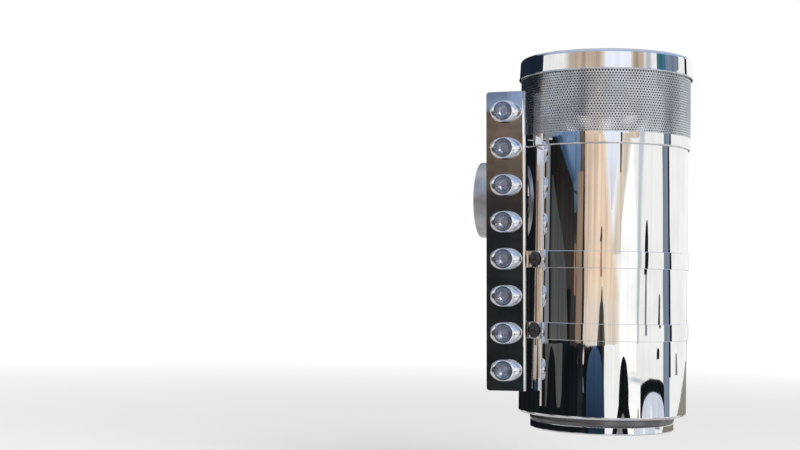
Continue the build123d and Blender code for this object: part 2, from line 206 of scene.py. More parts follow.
def pick(piece, kind, test):
    """Selects in edit mode only the vertices, edges or faces that pass a test."""
    bpy.ops.mesh.select_mode(type={"verts": "VERT", "edges": "EDGE", "faces": "FACE"}[kind])
    bpy.ops.mesh.select_all(action="DESELECT")
    mesh = bmesh.from_edit_mesh(piece.data)
    for element in getattr(mesh, kind):
        element.select_set(test(element))
    mesh.select_flush_mode()
    bmesh.update_edit_mesh(piece.data)


def extrude_faces(step):
    """Extrudes the selected faces by a step."""
    bpy.ops.mesh.extrude_region_move(TRANSFORM_OT_translate={"value": step})


def extrude_loop(step, shrink=1.0):
    """Extrudes the selected edges by a step, then scales them level about the Z axis."""
    bpy.ops.mesh.extrude_edges_move(TRANSFORM_OT_translate={"value": step})
    bpy.ops.transform.resize(value=(shrink, shrink, 1.0), center_override=(0, 0, 0))


def inset_step(inward, rise):
    """Insets the selected faces, then moves the inner ones along Z."""
    bpy.ops.mesh.inset(thickness=inward)
    bpy.ops.transform.translate(value=(0, 0, rise))


def end_edit():
    """Merges doubles, turns all faces outwards and closes edit mode."""
    bpy.ops.mesh.select_mode(type="VERT")
    bpy.ops.mesh.select_all(action="SELECT")
    bpy.ops.mesh.remove_doubles(threshold=MERGE_DISTANCE)
    bpy.ops.mesh.normals_make_consistent(inside=False)
    bpy.ops.object.mode_set(mode="OBJECT")


def apply_modifier(piece, kind, **settings):
    """Adds one modifier with its settings and applies it."""
    modifier = piece.modifiers.new(kind.title(), kind)
    for key, value in settings.items():
        setattr(modifier, key, value)
    bpy.context.view_layer.objects.active = piece
    bpy.ops.object.modifier_apply(modifier=modifier.name)


def repeat(piece, count, step):
    """Repeats a piece a fixed step apart."""
    apply_modifier(piece, "ARRAY", count=count, use_relative_offset=False,
                   use_constant_offset=True, constant_offset_displace=step)


def smooth(piece, degrees):
    """Shades a piece smooth up to an angle between faces."""
    choose(piece)
    bpy.ops.object.shade_smooth_by_angle(angle=radians(degrees))


def placed_copies(piece, name, places):
    """Copies a piece modelled at the origin to each place and joins the copies into one piece."""
    copies = []
    for place in places:
        choose(piece)
        bpy.ops.object.duplicate(linked=False)
        copy = bpy.context.object
        copy.matrix_world = place
        copies.append(copy)
    choose(piece)
    bpy.ops.object.delete()
    for copy in copies:
        copy.select_set(True)
    bpy.context.view_layer.objects.active = copies[0]
    bpy.ops.object.transform_apply(location=True, rotation=True, scale=True)
    bpy.ops.object.join()
    joined = bpy.context.object
    joined.name = name
    joined.data.name = name
    return joined


def give_finish(piece, slot):
    """Gives an object the finish of a slot as its only material."""
    piece.data.materials.clear()
    piece.data.materials.append(material_of(slot))


def finish_piece(piece, body, slot, *replaced):
    """Gives a piece the finish of a slot and its body, and hides the nodes that it stands for."""
    give_finish(piece, slot)
    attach(piece, body)
    if replaced:
        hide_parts(*replaced)


def dress(slot, *nodes):
    """Gives the named CAD nodes the finish of a slot."""
    for node in nodes:
        give_finish(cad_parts[node], slot)


# Shader helpers


def new_group(name, inputs, outputs):
    """An empty shader node group with float inputs, their defaults and float outputs."""
    tree = bpy.data.node_groups.new(name, "ShaderNodeTree")
    for label, value in inputs.items():
        socket = tree.interface.new_socket(label, in_out="INPUT", socket_type="NodeSocketFloat")
        socket.default_value = value
    for label in outputs:
        tree.interface.new_socket(label, in_out="OUTPUT", socket_type="NodeSocketFloat")
    source = tree.nodes.new("NodeGroupInput")
    result = tree.nodes.new("NodeGroupOutput")
    return tree, source, result


def add_node(tree, kind, inputs=None, **settings):
    """Adds a node with its settings; an input is a plain value or another node's output."""
    node = tree.nodes.new(kind)
    for key, value in settings.items():
        setattr(node, key, value)
    for key, value in (inputs or {}).items():
        if isinstance(value, bpy.types.NodeSocket):
            tree.links.new(value, node.inputs[key])
        else:
            node.inputs[key].default_value = value
    return node


def object_position(tree):
    """Position in Object coordinates."""
    return add_node(tree, "ShaderNodeTexCoord").outputs["Object"]


def object_height(tree):
    """Height in Object coordinates."""
    return add_node(tree, "ShaderNodeSeparateXYZ", {0: object_position(tree)}).outputs["Z"]


def stretched_position(tree, stretch):
    """Position in Object coordinates, scaled along each axis."""
    inputs = {0: object_position(tree), 1: stretch}
    return add_node(tree, "ShaderNodeVectorMath", inputs, operation="MULTIPLY").outputs["Vector"]


def noise(tree, vector, scale, detail=2.0, roughness=0.5):
    """Noise factor at a scale."""
    inputs = {"Vector": vector, "Scale": scale, "Detail": detail, "Roughness": roughness}
    return add_node(tree, "ShaderNodeTexNoise", inputs).outputs["Fac"]


def remap(tree, value, low, high, new_low=0.0, new_high=1.0):
    """Value mapped from one range to another and held inside it."""
    inputs = {"Value": value, "From Min": low, "From Max": high}
    inputs.update({"To Min": new_low, "To Max": new_high})
    return add_node(tree, "ShaderNodeMapRange", inputs).outputs["Result"]


def math_node(tree, operation, first, second):
    """One step of arithmetic."""
    inputs = {0: first, 1: second}
    return add_node(tree, "ShaderNodeMath", inputs, operation=operation).outputs["Value"]


def rolled_sheet_group():
    """Slow unevenness of rolled sheet, much longer along the height than round the canister."""
    tree, source, result = new_group("Rolled Sheet", {"Scale": 33.0, "Fine": 0.08}, ["Height"])
    place = stretched_position(tree, (1.0, 1.0, 0.07))
    slow = noise(tree, place, source.outputs["Scale"], detail=1.0)
    finer = math_node(tree, "MULTIPLY", source.outputs["Scale"], 4.0)
    quick = noise(tree, place, finer, detail=1.0)
    share = math_node(tree, "MULTIPLY", quick, source.outputs["Fine"])
    tree.links.new(math_node(tree, "ADD", slow, share), result.inputs["Height"])
    return tree


def polish_lines_group():
    """Fine polishing lines that run level round a spun piece."""
    tree, source, result = new_group("Polish Lines", {"Scale": 3.0}, ["Height"])
    place = stretched_position(tree, (1.0, 1.0, 260.0))
    lines = noise(tree, place, source.outputs["Scale"], detail=3.0, roughness=0.6)
    tree.links.new(lines, result.inputs["Height"])
    return tree


def smudges_group():
    """Patches of haze and dried drops on a polished face."""
    inputs = {"Patch Scale": 14.0, "Drop Scale": 90.0, "Drops": 0.5}
    tree, source, result = new_group("Smudges", inputs, ["Mask"])
    place = stretched_position(tree, (1.0, 1.0, 0.6))
    patches = noise(tree, place, source.outputs["Patch Scale"], detail=5.0, roughness=0.62)
    haze = remap(tree, patches, low=0.45, high=0.80)
    cells = {"Vector": place, "Scale": source.outputs["Drop Scale"]}
    distance = add_node(tree, "ShaderNodeTexVoronoi", cells).outputs["Distance"]
    spots = remap(tree, distance, low=0.16, high=0.10)
    sparse = remap(tree, noise(tree, place, scale=30.0), low=0.56, high=0.66)
    spots = math_node(tree, "MULTIPLY", spots, sparse)
    drops = math_node(tree, "MULTIPLY", spots, source.outputs["Drops"])
    tree.links.new(math_node(tree, "MAXIMUM", haze, drops), result.inputs["Mask"])
    return tree


def paint_skin_group():
    """Orange peel of sprayed paint and the dust that settles on what faces up."""
    tree, source, result = new_group("Paint Skin", {"Peel Scale": 420.0}, ["Height", "Dust"])
    place = object_position(tree)
    peel = noise(tree, place, source.outputs["Peel Scale"], detail=1.0)
    tree.links.new(peel, result.inputs["Height"])
    facing = add_node(tree, "ShaderNodeNewGeometry").outputs["Normal"]
    upward = add_node(tree, "ShaderNodeSeparateXYZ", {0: facing}).outputs["Z"]
    clumps = noise(tree, place, scale=60.0, detail=6.0, roughness=0.7)
    lying = remap(tree, math_node(tree, "ADD", upward, clumps), low=0.75, high=1.5)
    tree.links.new(lying, result.inputs["Dust"])
    return tree


def moulded_skin_group():
    """Fine even texture of moulded rubber, plastic or paper."""
    tree, source, result = new_group("Moulded Skin", {"Scale": 700.0}, ["Height", "Mottle"])
    place = object_position(tree)
    grain = noise(tree, place, source.outputs["Scale"], detail=2.0, roughness=0.6)
    tree.links.new(grain, result.inputs["Height"])
    tree.links.new(noise(tree, place, scale=35.0, detail=4.0), result.inputs["Mottle"])
    return tree


def use_group(material, group, **values):
    """Places a group in a material with its own values."""
    node = material.node_tree.nodes.new("ShaderNodeGroup")
    node.node_tree = group
    for key, value in values.items():
        node.inputs[key.replace("_", " ").title()].default_value = value
    return node


def new_material(slot, **sockets):
    """The finish of a slot, with its Principled BSDF and that shader's uniform values."""
    material = bpy.data.materials.new(f"{slot}_finish")
    material.use_nodes = True
    shader = material.node_tree.nodes["Principled BSDF"]
    for key, value in sockets.items():
        shader.inputs[key.replace("_", " ")].default_value = value
    return material, material.node_tree, shader


def mix_colour(tree, factor, first, second):
    """Blend of two colours."""
    node = add_node(tree, "ShaderNodeMix", data_type="RGBA")
    sockets = {socket.identifier: socket for socket in node.inputs}
    tree.links.new(factor, sockets["Factor_Float"])
    sockets["A_Color"].default_value = (*first, 1.0)
    sockets["B_Color"].default_value = (*second, 1.0)
    return next(socket for socket in node.outputs if socket.identifier == "Result_Color")


def set_ramp(ramp, stops):
    """Gives a colour ramp its stops."""
    elements = ramp.color_ramp.elements
    for position, _ in stops[1:-1]:
        elements.new(position)
    for element, (position, colour) in zip(elements, stops):
        element.position = position
        element.color = (*colour, 1.0)


def set_roughness(tree, shader, mask, least, most, low=0.0, high=1.0):
    """Lets the roughness run between two values as a mask runs from low to high."""
    tree.links.new(remap(tree, mask, low, high, least, most), shader.inputs["Roughness"])


def set_bump(tree, shader, height, distance):
    """Feeds a height through a Bump node to the shader's normal."""
    bump = add_node(tree, "ShaderNodeBump", {"Height": height, "Distance": distance})
    tree.links.new(bump.outputs["Normal"], shader.inputs["Normal"])


def shaded(colour, share):
    """A colour made darker, down to a share of itself."""
    return tuple(channel * share for channel in colour)


def polished_metal(slot, colour, groups, roughness, haze, wave_scale, wave_depth, line_share):
    """Polished finish with slow waves, polishing lines, haze and dried drops."""
    material, tree, shader = new_material(slot, Metallic=1.0)
    mask = use_group(material, groups["smudges"]).outputs["Mask"]
    blend = mix_colour(tree, mask, colour, shaded(colour, share=0.86))
    tree.links.new(blend, shader.inputs["Base Color"])
    set_roughness(tree, shader, mask, least=roughness, most=roughness + haze)
    waves = use_group(material, groups["sheet"], scale=wave_scale)
    lines = use_group(material, groups["lines"])
    marks = math_node(tree, "MULTIPLY", lines.outputs["Height"], line_share)
    height = math_node(tree, "ADD", waves.outputs["Height"], marks)
    set_bump(tree, shader, height, wave_depth)


def perforated_metal(colour, groups):
    """Satin steel of the screen, darker and duller in patches of haze."""
    material, tree, shader = new_material("perforated_stainless", Metallic=1.0)
    smudges = use_group(material, groups["smudges"], patch_scale=22.0, drops=0.0)
    mask = smudges.outputs["Mask"]
    blend = mix_colour(tree, mask, colour, shaded(colour, share=0.72))
    tree.links.new(blend, shader.inputs["Base Color"])
    set_roughness(tree, shader, mask, least=0.22, most=0.32)
    grain = use_group(material, groups["skin"], scale=500.0)
    set_bump(tree, shader, grain.outputs["Height"], distance=0.00003)


def satin_metal(slot, colour, groups, roughness, spread):
    """Plated or brushed steel with a mottled, slightly dull face."""
    material, tree, shader = new_material(slot, Metallic=1.0)
    skin = use_group(material, groups["skin"], scale=380.0)
    mottle = skin.outputs["Mottle"]
    dull = remap(tree, mottle, low=0.35, high=0.70)
    blend = mix_colour(tree, dull, colour, shaded(colour, share=0.74))
    tree.links.new(blend, shader.inputs["Base Color"])
    set_roughness(tree, shader, mottle, roughness, roughness + spread, low=0.3, high=0.7)
    lines = use_group(material, groups["lines"], scale=5.0)
    grain = math_node(tree, "MULTIPLY", skin.outputs["Height"], 0.5)
    height = math_node(tree, "ADD", grain, lines.outputs["Height"])
    set_bump(tree, shader, height, distance=0.00003)


def sprayed_paint(slot, colour, groups, roughness, dust_colour):
    """Sprayed black paint with orange peel and dust on what faces up."""
    material, tree, shader = new_material(slot)
    skin = use_group(material, groups["paint"])
    dust = skin.outputs["Dust"]
    tree.links.new(mix_colour(tree, dust, colour, dust_colour), shader.inputs["Base Color"])
    set_roughness(tree, shader, dust, least=roughness, most=0.85)
    set_bump(tree, shader, skin.outputs["Height"], distance=0.00012)


def moulded(slot, colour, second, groups, roughness, spread, scale, depth):
    """Rubber, plastic or paper with a fine grain and a mottled colour."""
    material, tree, shader = new_material(slot)
    skin = use_group(material, groups["skin"], scale=scale)
    mottle = remap(tree, skin.outputs["Mottle"], low=0.35, high=0.68)
    tree.links.new(mix_colour(tree, mottle, colour, second), shader.inputs["Base Color"])
    set_roughness(tree, shader, mottle, least=roughness, most=roughness + spread)
    set_bump(tree, shader, skin.outputs["Height"], depth)


def clear_lens(colour, groups):
    """Clear moulded plastic with a faint haze."""
    material, tree, shader = new_material("clear_lens", Transmission_Weight=1.0, IOR=1.49)
    shader.inputs["Base Color"].default_value = (*colour, 1.0)
    skin = use_group(material, groups["skin"], scale=160.0)
    mottle = skin.outputs["Mottle"]
    set_roughness(tree, shader, mottle, least=0.02, most=0.08, low=0.3, high=0.7)
    set_bump(tree, shader, skin.outputs["Height"], distance=0.000006)


def make_materials():
    """Every finish of the part."""
    colours = bpy.context.scene.finish_colours
    groups = {
        "sheet": rolled_sheet_group(),
        "lines": polish_lines_group(),
        "smudges": smudges_group(),
        "paint": paint_skin_group(),
        "skin": moulded_skin_group(),
    }
    stainless = tuple(colours.stainless)
    chrome = tuple(colours.chrome)
    polished_metal("polished_stainless", stainless, groups, roughness=0.010, haze=0.028,
                   wave_scale=33.0, wave_depth=0.0003, line_share=0.0006)
    polished_metal("chrome_plate", chrome, groups, roughness=0.100, haze=0.030,
                   wave_scale=40.0, wave_depth=0.000006, line_share=0.004)
    perforated_metal(tuple(colours.screen), groups)
    satin_metal("band_steel", (0.20, 0.20, 0.21), groups, roughness=0.26, spread=0.14)
    satin_metal("zinc_steel", (0.62, 0.61, 0.56), groups, roughness=0.28, spread=0.16)
    satin_metal("outlet_steel", (0.60, 0.60, 0.61), groups, roughness=0.34, spread=0.12)
    satin_metal("reflector_silver", (0.50, 0.55, 0.64), groups, roughness=0.24, spread=0.12)
    sprayed_paint("bracket_paint", tuple(colours.bracket), groups,
                  roughness=0.32, dust_colour=(0.16, 0.15, 0.13))
    sprayed_paint("inner_paint", (0.012, 0.012, 0.013), groups,
                  roughness=0.60, dust_colour=(0.10, 0.09, 0.08))
    moulded("filter_paper", tuple(colours.paper), (0.50, 0.37, 0.17), groups,
            roughness=0.75, spread=0.15, scale=900.0, depth=0.0001)
    moulded("element_rubber", (0.030, 0.030, 0.032), (0.050, 0.048, 0.046), groups,
            roughness=0.55, spread=0.20, scale=700.0, depth=0.00006)
    moulded("gasket_rubber", (0.012, 0.012, 0.012), (0.022, 0.021, 0.020), groups,
            roughness=0.48, spread=0.22, scale=600.0, depth=0.00005)
    moulded("black_plastic", (0.010, 0.010, 0.011), (0.016, 0.016, 0.017), groups,
            roughness=0.10, spread=0.12, scale=300.0, depth=0.00001)
    clear_lens(tuple(colours.lens), groups)


def material_of(slot):
    """The finish of a slot, made with all the others the first time."""
    name = f"{slot}_finish"
    if name not in bpy.data.materials:
        make_materials()
    return bpy.data.materials[name]


class AIRCLEANER_OT_shell(bpy.types.Operator):
    """Polishes the body, collar, cap, straps, panel and cover"""

    bl_idname = "aircleaner.shell"
    bl_label = "Polished Shell"

    def execute(self, context):
        dress("polished_stainless", "housing_body", "intake_collar", "cap",
              "strap_lower", "strap_upper", "light_panel", "service_cover")
        dress("inner_paint", "inlet_baffle")
        dress("outlet_steel", "outlet_tube")
        dress("band_steel", "clamp_band")
        dress("gasket_rubber", "cover_gasket")
        return {"FINISHED"}


class AIRCLEANER_OT_screen(bpy.types.Operator):
    """Punches and rolls the perforated screen"""

    bl_idname = "aircleaner.screen"
    bl_label = "Perforated Screen"

    def execute(self, context):
        sizes = context.scene.sheet_sizes
        holes_round = round(tau * SCREEN_RADIUS / sizes.hole_pitch)
        row_step = sizes.hole_pitch * sqrt(3) / 2
        first_row = screen_low.z + sizes.margin
        last_row = first_row + (sizes.rows - 1) * row_step
        screen = self.punched_sheet(sizes, holes_round, row_step, first_row)
        self.roll(screen, holes_round * sizes.hole_pitch)
        past_holes = sizes.hole_radius * 0.75
        for row, side, end in ((first_row, -1, screen_low.z), (last_row, 1, screen_high.z)):
            pick(screen, "edges", lambda e: e.is_boundary
                 and all((v.co.z - row) * side > past_holes for v in e.verts))
            bpy.ops.mesh.extrude_edges_move(TRANSFORM_OT_translate={"value": (0, 0, 0)})
            bpy.ops.transform.resize(value=(1, 1, 0), center_override=(CANISTER_X, 0, end))
        end_edit()
        apply_modifier(screen, "SOLIDIFY", thickness=sizes.sheet, offset=-1.0)
        smooth(screen, degrees=40.0)
        finish_piece(screen, "canister", "perforated_stainless", "intake_screen")
        return {"FINISHED"}

    def punched_sheet(self, sizes, holes_round, row_step, first_row):
        """A flat sheet: a hexagonal cell with its hole and one half a step on, both repeated."""
        pitch = sizes.hole_pitch
        cell_corner = pitch / sqrt(3)
        cell_rim = (cell_corner - sizes.hole_radius) * sqrt(3) / 2
        cell_weld = 0.00002
        deselect_all()
        bpy.ops.mesh.primitive_circle_add(
            vertices=6, radius=cell_corner, fill_type="NGON",
            location=(0, 0, first_row), rotation=(pi / 2, 0, 0))
        screen = begin_piece("perforated_screen")
        bpy.ops.mesh.inset(thickness=cell_rim)
        bpy.ops.mesh.delete(type="FACE")
        bpy.ops.mesh.select_all(action="SELECT")
        half_step = (pitch / 2, 0, row_step)
        bpy.ops.mesh.duplicate_move(TRANSFORM_OT_translate={"value": half_step})
        bpy.ops.object.mode_set(mode="OBJECT")
        repeat(screen, holes_round, (pitch, 0, 0))
        repeat(screen, sizes.rows // 2, (0, 0, 2 * row_step))
        bpy.ops.object.mode_set(mode="EDIT")
        bpy.ops.mesh.select_all(action="SELECT")
        bpy.ops.mesh.remove_doubles(threshold=cell_weld)
        bpy.ops.object.mode_set(mode="OBJECT")
        return screen

    def roll(self, screen, girth):
        """Bends the sheet round the canister's axis, welds its seam and leaves it open to edit."""
        seam_weld = 0.0003
        along = [v.co.x for v in screen.data.vertices]
        bend = tau * (max(along) - min(along)) / girth
        apply_modifier(screen, "SIMPLE_DEFORM", deform_method="BEND", deform_axis="Z", angle=bend)
        points = [v.co for v in screen.data.vertices]
        middle_x = (max(p.x for p in points) + min(p.x for p in points)) / 2
        middle_y = (max(p.y for p in points) + min(p.y for p in points)) / 2
        screen.location = (CANISTER_X - middle_x, -middle_y, 0)
        bpy.ops.object.transform_apply(location=True, rotation=True, scale=True)
        bpy.ops.object.mode_set(mode="EDIT")
        bpy.ops.mesh.select_all(action="SELECT")
        bpy.ops.mesh.remove_doubles(threshold=seam_weld)


def lamp_places(forward):
    """Matrices that put a lamp piece modelled at the origin, facing +Z, on each lamp."""
    sizes = bpy.context.scene.lamp_sizes
    turn = Matrix((PANEL_RIGHT, PANEL_UP, PANEL_OUT)).transposed().to_4x4()
    places = []
    for number in range(sizes.count):
        lift = sizes.first + number * sizes.pitch
        spot = PANEL_EDGE - PANEL_RIGHT * sizes.inset + PANEL_UP * lift + PANEL_OUT * forward
        places.append(Matrix.Translation(spot) @ turn)
    return places


class AIRCLEANER_OT_lamps(bpy.types.Operator):
    """Models the lenses, reflectors, light sources and seals of the marker lamps"""

    bl_idname = "aircleaner.lamps"
    bl_label = "Marker Lamps"

    def execute(self, context):
        dress("chrome_plate", "lamp_housings")
        dress("black_plastic", "lamp_backs")
        sizes = context.scene.lamp_sizes
        self.lenses(sizes)
        self.reflectors(sizes)
        self.light_sources(sizes)
        self.seals(sizes)
        return {"FINISHED"}

    def lenses(self, sizes):
        """A shallow domed disc with ring flutes moulded in its back."""
        dome_steps = ((0.0010, 0.0004), (0.0030, 0.0005), (0.0040, 0.0004), (0.0050, 0.0003))
        flutes, flute_margin, flute_step, flute_depth = 5, 0.0012, 0.0015, 0.00018
        proud = 0.0006
        deselect_all()
        bpy.ops.mesh.primitive_circle_add(
            vertices=40, radius=sizes.lens_radius, fill_type="NGON",
            location=(0, 0, -sizes.lens_edge))
        lens = begin_piece("lens_model")
        extrude_faces((0, 0, sizes.lens_edge))
        for inward, rise in dome_steps:
            inset_step(inward, rise)
        near_back = -sizes.lens_edge * 0.9
        pick(lens, "faces", lambda f: f.calc_center_median().z < near_back)
        bpy.ops.mesh.inset(thickness=flute_margin)
        for _ in range(flutes):
            inset_step(flute_step, flute_depth)
            inset_step(flute_step, -flute_depth)
        end_edit()
        smooth(lens, degrees=30.0)
        lenses = placed_copies(lens, "fluted_lenses", lamp_places(sizes.rim + proud))
        finish_piece(lenses, "canister", "clear_lens", "lamp_lenses")

    def reflectors(self, sizes):
        """A faceted bowl with a flat floor."""
        bowl_steps = ((0.0030, 0.86), (0.0028, 0.84), (0.0024, 0.80), (0.0018, 0.74))
        inside_lens, behind_lens, wall = 0.0012, 0.0008, 0.001
        deselect_all()
        bpy.ops.mesh.primitive_circle_add(
            vertices=sizes.facets, radius=sizes.lens_radius - inside_lens)
        bowl = begin_piece("reflector_model")
        bpy.ops.mesh.select_mode(type="EDGE")
        bpy.ops.mesh.select_all(action="SELECT")
        for drop, shrink in bowl_steps:
            extrude_loop((0, 0, -drop), shrink)
        bpy.ops.mesh.edge_face_add()
        end_edit()
        # The bright side faces into the bowl, so its wall is laid on behind it
        bpy.ops.object.mode_set(mode="EDIT")
        bpy.ops.mesh.select_all(action="SELECT")
        bpy.ops.mesh.flip_normals()
        bpy.ops.object.mode_set(mode="OBJECT")
        apply_modifier(bowl, "SOLIDIFY", thickness=wall, offset=-1.0)
        places = lamp_places(sizes.rim - sizes.lens_edge - behind_lens)
        bowls = placed_copies(bowl, "faceted_reflectors", places)
        finish_piece(bowls, "canister", "reflector_silver", "lamp_reflectors")

    def light_sources(self, sizes):
        """A small domed light source on a square base."""
        base, depth, ledge, dome_rise = 0.006, 0.0090, 0.0007, 0.0004
        behind_rim, slack = 0.0040, 0.0001
        deselect_all()
        bpy.ops.mesh.primitive_cube_add(size=base, location=(0, 0, -depth))
        source = begin_piece("source_model")
        pick(source, "faces", lambda f: f.normal.z > 0.9)
        bpy.ops.mesh.inset(thickness=ledge)
        bpy.ops.mesh.subdivide(number_cuts=3)
        top = base / 2 - depth - slack
        reach = base / 2 - ledge + slack
        pick(source, "verts", lambda v: v.co.z > top and max(abs(v.co.x), abs(v.co.y)) < reach)
        bpy.ops.transform.tosphere(value=1.0)
        bpy.ops.transform.translate(value=(0, 0, dome_rise))
        end_edit()
        smooth(source, degrees=50.0)
        sources = placed_copies(source, "light_sources", lamp_places(sizes.rim - behind_rim))
        finish_piece(sources, "canister", "clear_lens")

    def seals(self, sizes):
        """A dark ring pressed in between each lens and its rim."""
        round_lens, section, deepening, sunk = 0.0004, 0.0006, 2.0, 0.0001
        deselect_all()
        bpy.ops.mesh.primitive_torus_add(
            major_radius=sizes.lens_radius + round_lens, minor_radius=section,
            major_segments=48, minor_segments=8)
        seal = begin_piece("seal_model")
        pick(seal, "verts", lambda v: v.co.z < 0)
        bpy.ops.transform.resize(value=(1, 1, deepening), center_override=(0, 0, 0))
        end_edit()
        smooth(seal, degrees=60.0)
        seals = placed_copies(seal, "lens_seals", lamp_places(sizes.rim - sunk))
        finish_piece(seals, "canister", "gasket_rubber")


class AIRCLEANER_OT_hardware(bpy.types.Operator):
    """Models the clamp bolts and the band's nuts and dresses the domed nuts"""

    bl_idname = "aircleaner.hardware"
    bl_label = "Bolts and Nuts"

    def execute(self, context):
        dress("black_plastic", "dome_nuts")
        self.clamp_bolts()
        self.band_nuts()
        return {"FINISHED"}

    def bolt_model(self):
        """A threaded bolt along Z with a washer at both ends, a chamfered head and a nut."""
        shank, corner = 0.0040, 0.0075
        washer, washer_height = 0.0085, 0.0014
        head_height, nut_height = 0.0042, 0.0050
        bevel_inset, bevel_rise = 0.0008, 0.0005
        tip_inset, tip_sink = 0.0007, 0.985
        # From the bolt's middle to the lugs' outer faces and to its own end
        grip, outer = 0.01944, 0.02634
        deselect_all()
        bpy.ops.mesh.primitive_cylinder_add(
            vertices=20, radius=shank, depth=2 * outer, end_fill_type="NGON")
        bolt = begin_piece("clamp_bolt_model")
        pick(bolt, "faces", lambda f: abs(f.normal.z) > 0.9)
        bpy.ops.mesh.inset(thickness=tip_inset)
        bpy.ops.transform.resize(value=(1, 1, tip_sink), center_override=(0, 0, 0))
        for end, height in ((-1, head_height), (1, nut_height)):
            bpy.ops.mesh.select_all(action="DESELECT")
            bpy.ops.mesh.primitive_cylinder_add(
                vertices=24, radius=washer, depth=washer_height,
                location=(0, 0, end * (grip + washer_height / 2)))
            bpy.ops.mesh.select_all(action="DESELECT")
            bpy.ops.mesh.primitive_circle_add(
                vertices=6, radius=corner, fill_type="NGON",
                location=(0, 0, end * (grip + washer_height)))
            extrude_faces((0, 0, end * height))
            inset_step(bevel_inset, end * bevel_rise)
        end_edit()
        thread = self.thread(shank, outer)
        choose(bolt)
        thread.select_set(True)
        bpy.ops.object.join()
        smooth(bolt, degrees=32.0)
        return bolt

    def thread(self, shank, outer):
        """Ridges of a thread between the lugs and past the nut."""
        pitch, ridge_radius = 0.00125, 0.0004
        threaded_length = 1.65 * outer
        deselect_all()
        bpy.ops.mesh.primitive_torus_add(
            major_radius=shank, minor_radius=ridge_radius, major_segments=20, minor_segments=4,
            location=(0, 0, -outer + pitch))
        ridge = begin_piece("thread_model")
        end_edit()
        repeat(ridge, round(threaded_length / pitch), (0, 0, pitch))
        return ridge

    def clamp_bolts(self):
        """A bolt through each pair of lugs, level and square to them."""
        lug_angle, bolt_circle = radians(26.0), 0.2043
        places = []
        for height in STRAP_HEIGHTS:
            for side in (-1, 1):
                angle = pi + side * lug_angle
                outward = Vector((cos(angle), sin(angle), 0))
                across = Vector((-sin(angle), cos(angle), 0)) * side
                turn = Matrix((outward, across.cross(outward), across)).transposed().to_4x4()
                spot = Vector((CANISTER_X, 0, height)) + outward * bolt_circle
                places.append(Matrix.Translation(spot) @ turn)
        bolts = placed_copies(self.bolt_model(), "threaded_bolts", places)
        finish_piece(bolts, "canister", "zinc_steel", "clamp_bolts")

    def band_nuts(self):
        """A hexagon nut with a chamfered face at each end of the band's bolt."""
        bolt_circle, direction = 0.1699, radians(120.0)
        corner, height, chamfer = 0.0052, 0.0034, 0.0006
        past_lug = 0.0072
        deselect_all()
        bpy.ops.mesh.primitive_circle_add(
            vertices=6, radius=corner, fill_type="NGON", location=(0, 0, past_lug))
        nut = begin_piece("nut_model")
        extrude_faces((0, 0, height))
        inset_step(chamfer, chamfer)
        end_edit()
        across = Vector((-sin(direction), cos(direction), 0))
        outward = Vector((cos(direction), sin(direction), 0))
        spot = Vector((CANISTER_X, 0, BAND_HEIGHT)) + outward * bolt_circle
        places = []
        for end in (1, -1):
            turn = Matrix((outward * end, Vector((0, 0, 1)), across * -end)).transposed().to_4x4()
            places.append(Matrix.Translation(spot) @ turn)
        nuts = placed_copies(nut, "band_nuts", places)
        finish_piece(nuts, "cover", "zinc_steel")


class AIRCLEANER_OT_bracket(bpy.types.Operator):
    """Paints the mounting bracket and lays its weld beads"""

    bl_idname = "aircleaner.bracket"
    bl_label = "Mounting Bracket"

    def execute(self, context):
        dress("bracket_paint", "mounting_plate", "saddle_lower", "saddle_upper")
        bead_radius, flattening = 0.0024, 0.85
        bead_length, ripple = 0.108, 0.0028
        web_faces = (-0.015, -0.010, 0.010, 0.015)
        deselect_all()
        bpy.ops.mesh.primitive_uv_sphere_add(
            segments=10, ring_count=6, radius=bead_radius, rotation=(pi / 2, 0, 0))
        bead = begin_piece("bead_model")
        bpy.ops.transform.resize(value=(1.0, flattening, 1.0), center_override=(0, 0, 0))
        end_edit()
        count = round(bead_length / ripple)
        repeat(bead, count, (0, ripple, 0))
        places = [
            Matrix.Translation((PLATE_FACE, -(count - 1) * ripple / 2, height + face))
            for height in STRAP_HEIGHTS
            for face in web_faces
        ]
        beads = placed_copies(bead, "weld_beads", places)
        smooth(beads, degrees=60.0)
        finish_piece(beads, "canister", "bracket_paint")
        return {"FINISHED"}


class AIRCLEANER_OT_element(bpy.types.Operator):
    """Dresses the pleated filter element"""

    bl_idname = "aircleaner.element"
    bl_label = "Filter Element"

    def execute(self, context):
        dress("filter_paper", "element_media")
        dress("element_rubber", "element_ends")
        return {"FINISHED"}


# Reflection cards, lights and world

